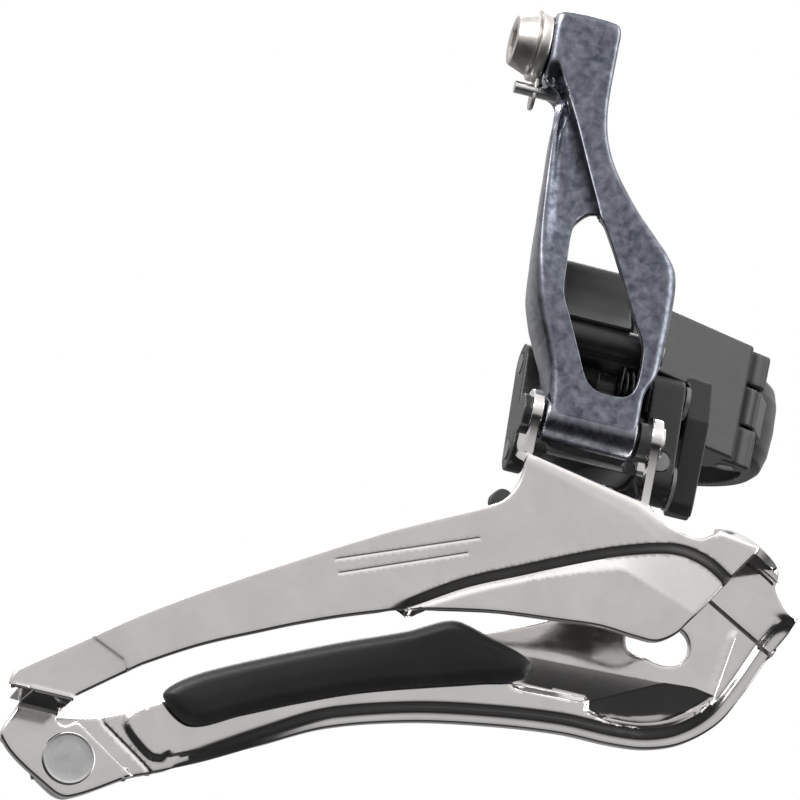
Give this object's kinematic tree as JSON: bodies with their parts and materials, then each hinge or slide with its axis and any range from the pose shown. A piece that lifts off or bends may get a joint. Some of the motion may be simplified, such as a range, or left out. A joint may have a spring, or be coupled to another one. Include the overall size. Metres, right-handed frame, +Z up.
{
  "type": "front derailleur",
  "caption": "Band-on front derailleur for road bicycles: long cable arm, parallelogram links and a polished two-plate cage that pushes the chain from ring to ring",
  "frame": {"origin": "centre of the seat tube clamp bore, on the tube axis, at the middle height of the bracket", "axes": "+Z up along the seat tube axis, +X forward toward the front wheel, +Y inboard, away from the chain rings; millimetre source, metre rows"},
  "size_m": [0.1063, 0.0662, 0.1218],
  "materials": {
    "bracket_paint": "satin black paint on cast aluminium",
    "band_paint": "satin black paint on forged aluminium",
    "link_paint": "satin black paint",
    "black_pin": "black oxide",
    "arm_steel": "dark blue-grey plated steel, tumbled",
    "cage_chrome": "polished nickel plate",
    "rivet_steel": "satin nickel plate",
    "bolt_steel": "satin stainless",
    "pin_steel": "ground steel",
    "spring_steel": "zinc plated spring wire",
    "pad_plastic": "moulded nylon, fine grain",
    "bush_plastic": "moulded acetal"
  },
  "bodies": {
    "bracket": {"clamp_bracket": "bracket_paint", "band_hinge_pin": "black_pin", "inner_link_axle": "black_pin", "inner_axle_ring": "black_pin", "return_spring": "spring_steel"},
    "band": {"hinged_band": "band_paint"},
    "clamp_screw": {"clamp_bolt": "bolt_steel", "clamp_washer": "bolt_steel"},
    "low_screw": {"low_limit_screw": "bolt_steel"},
    "high_screw": {"high_limit_screw": "bolt_steel"},
    "arm": {"outer_link": "arm_steel", "outer_link_axle": "pin_steel", "cable_washer": "bolt_steel", "cable_nut": "bolt_steel", "cable_stop_pin": "pin_steel"},
    "cable_screw": {"cable_bolt": "bolt_steel"},
    "link": {"inner_link": "link_paint", "cage_inner_axle": "black_pin", "axle_lock_pin": "black_pin", "link_side_washer": "black_pin"},
    "cage": {"outer_cage_plate": "cage_chrome", "inner_cage_plate": "cage_chrome", "skid_pad": "pad_plastic", "tail_rivet": "rivet_steel", "bridge_rivet_front": "rivet_steel", "bridge_rivet_rear": "rivet_steel", "cage_axle": "black_pin", "cage_axle_clip": "pin_steel", "cage_axle_bush": "bush_plastic", "cage_bumper": "bush_plastic"}
  },
  "joints": [
    {"name": "outer_link_swing", "type": "hinge", "parent": "bracket", "child": "arm", "pos_m": [-0.0168, -0.041, -0.0011], "axis": [-1, 0, 0], "range_deg": [0, 30], "stiffness_Nm_per_rad": 0.25, "springref_deg": -34.38, "deforming": ["return_spring"]},
    {"name": "inner_link_swing", "type": "hinge", "parent": "bracket", "child": "link", "pos_m": [-0.0144, -0.0325, -0.0046], "axis": [-1, 0, 0], "range_deg": [0, 30]},
    {"name": "cage_level", "type": "hinge", "parent": "arm", "child": "cage", "pos_m": [-0.0161, -0.0439, -0.0138], "axis": [-1, 0, 0], "range_deg": [-30, 0]},
    {"name": "band_opening", "type": "hinge", "parent": "bracket", "child": "band", "pos_m": [0.009, -0.0162, 0], "axis": [0, 0, -1], "range_deg": [0, 20]},
    {"name": "clamp_bolt_turn", "type": "hinge", "parent": "bracket", "child": "clamp_screw", "pos_m": [-0.0149, -0.0146, 0], "axis": [1, 0, 0], "continuous": true},
    {"name": "low_limit_turn", "type": "hinge", "parent": "bracket", "child": "low_screw", "pos_m": [-0.0185, -0.0285, 0], "axis": [0, 0, 1], "continuous": true},
    {"name": "high_limit_turn", "type": "hinge", "parent": "bracket", "child": "high_screw", "pos_m": [-0.0133, -0.0285, 0], "axis": [0, 0, 1], "continuous": true},
    {"name": "cable_bolt_turn", "type": "hinge", "parent": "arm", "child": "cable_screw", "pos_m": [-0.0317, -0.037, 0.03817], "axis": [1, 0, 0], "continuous": true}
  ],
  "couplings": [
    {"joint": "inner_link_swing", "follows": "outer_link_swing", "ratio": 1},
    {"joint": "cage_level", "follows": "outer_link_swing", "ratio": -1}
  ]
}
